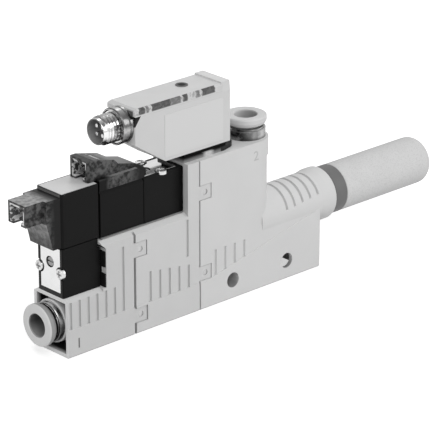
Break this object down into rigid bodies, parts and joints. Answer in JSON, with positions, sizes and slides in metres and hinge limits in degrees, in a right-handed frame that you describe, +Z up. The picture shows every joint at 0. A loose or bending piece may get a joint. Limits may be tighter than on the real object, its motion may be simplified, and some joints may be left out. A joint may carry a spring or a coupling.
{
  "type": "vacuum ejector",
  "caption": "Compact vacuum ejector: moulded housings in a row with solenoid valves, a vacuum switch on top, push-in hose fittings and a porous exhaust silencer.",
  "frame": {"origin": "on the bottom face, at the middle of the row of housings", "axes": "+X along the row, from the supply fitting to the exhaust silencer; +Y across its width; +Z up, towards the vacuum port"},
  "size_m": [0.1474, 0.015, 0.0625],
  "materials": {
    "housing_grey": "fine moulded grain",
    "steel": "bright zinc plate",
    "ring_grey": "smooth moulded",
    "dark_nickel": "dark nickel plate, glossy",
    "black_rubber": "smooth",
    "brass": "turned",
    "collar_grey": "satin",
    "porous_plastic": "open-pored, sintered",
    "valve_black": "satin",
    "plate_steel": "bright, glossy sheet",
    "override_grey": "satin",
    "label_white": "printed film, bare",
    "smoky_plastic": "smoky, translucent",
    "switch_grey": "fine moulded grain",
    "clear_plastic": "clear",
    "board_black": "satin",
    "foot_grey": "satin",
    "connector_metal": "nickel plate"
  },
  "bodies": {
    "housing": {"supply_module": "housing_grey", "middle_module": "housing_grey", "ejector_body": "housing_grey", "link_pins": "steel", "supply_collar": "dark_nickel", "supply_collet": "steel", "supply_hose_seal": "black_rubber", "vacuum_collar": "dark_nickel", "vacuum_collet": "steel", "vacuum_hose_seal": "black_rubber", "jet_nozzle": "brass", "receiver_nozzle": "brass", "nozzle_seal": "black_rubber", "exhaust_collar": "collar_grey", "silencer": "porous_plastic", "supply_valve_body": "valve_black", "supply_valve_coil": "valve_black", "supply_valve_plate": "plate_steel", "supply_valve_screws": "steel", "supply_valve_seal": "black_rubber", "supply_valve_label": "label_white", "supply_plug": "smoky_plastic", "supply_plug_pins": "steel", "pulse_valve_body": "valve_black", "pulse_valve_coil": "valve_black", "pulse_valve_plate": "plate_steel", "pulse_valve_screws": "steel", "pulse_valve_seal": "black_rubber", "pulse_plug": "smoky_plastic", "pulse_plug_pins": "steel", "switch_case": "switch_grey", "switch_cover": "clear_plastic", "switch_board": "board_black", "switch_label": "label_white", "switch_foot": "foot_grey", "switch_seal": "black_rubber", "switch_screw": "steel", "connector_nose": "connector_metal", "connector_sleeve": "connector_metal", "connector_insert": "valve_black", "connector_pins": "brass"},
    "supply_release_ring": {"supply_release_ring": "ring_grey"},
    "vacuum_release_ring": {"vacuum_release_ring": "ring_grey"},
    "supply_valve_override": {"supply_valve_override": "override_grey"},
    "pulse_valve_override": {"pulse_valve_override": "override_grey"},
    "switch_key": {"switch_key": "board_black"}
  },
  "joints": [
    {"name": "supply_release", "type": "slide", "parent": "housing", "child": "supply_release_ring", "axis": [1, 0, 0], "range_m": [0, 0.0008], "stiffness_N_per_m": 1000},
    {"name": "vacuum_release", "type": "slide", "parent": "housing", "child": "vacuum_release_ring", "axis": [0, 0, -1], "range_m": [0, 0.0008], "stiffness_N_per_m": 1000},
    {"name": "supply_override_push", "type": "slide", "parent": "housing", "child": "supply_valve_override", "axis": [1, 0, 0], "range_m": [0, 0.0006], "stiffness_N_per_m": 800},
    {"name": "pulse_override_push", "type": "slide", "parent": "housing", "child": "pulse_valve_override", "axis": [0, 0, -1], "range_m": [0, 0.0006], "stiffness_N_per_m": 800},
    {"name": "key_push", "type": "slide", "parent": "housing", "child": "switch_key", "axis": [0, 0, -1], "range_m": [0, 0.0003], "stiffness_N_per_m": 800}
  ]
}
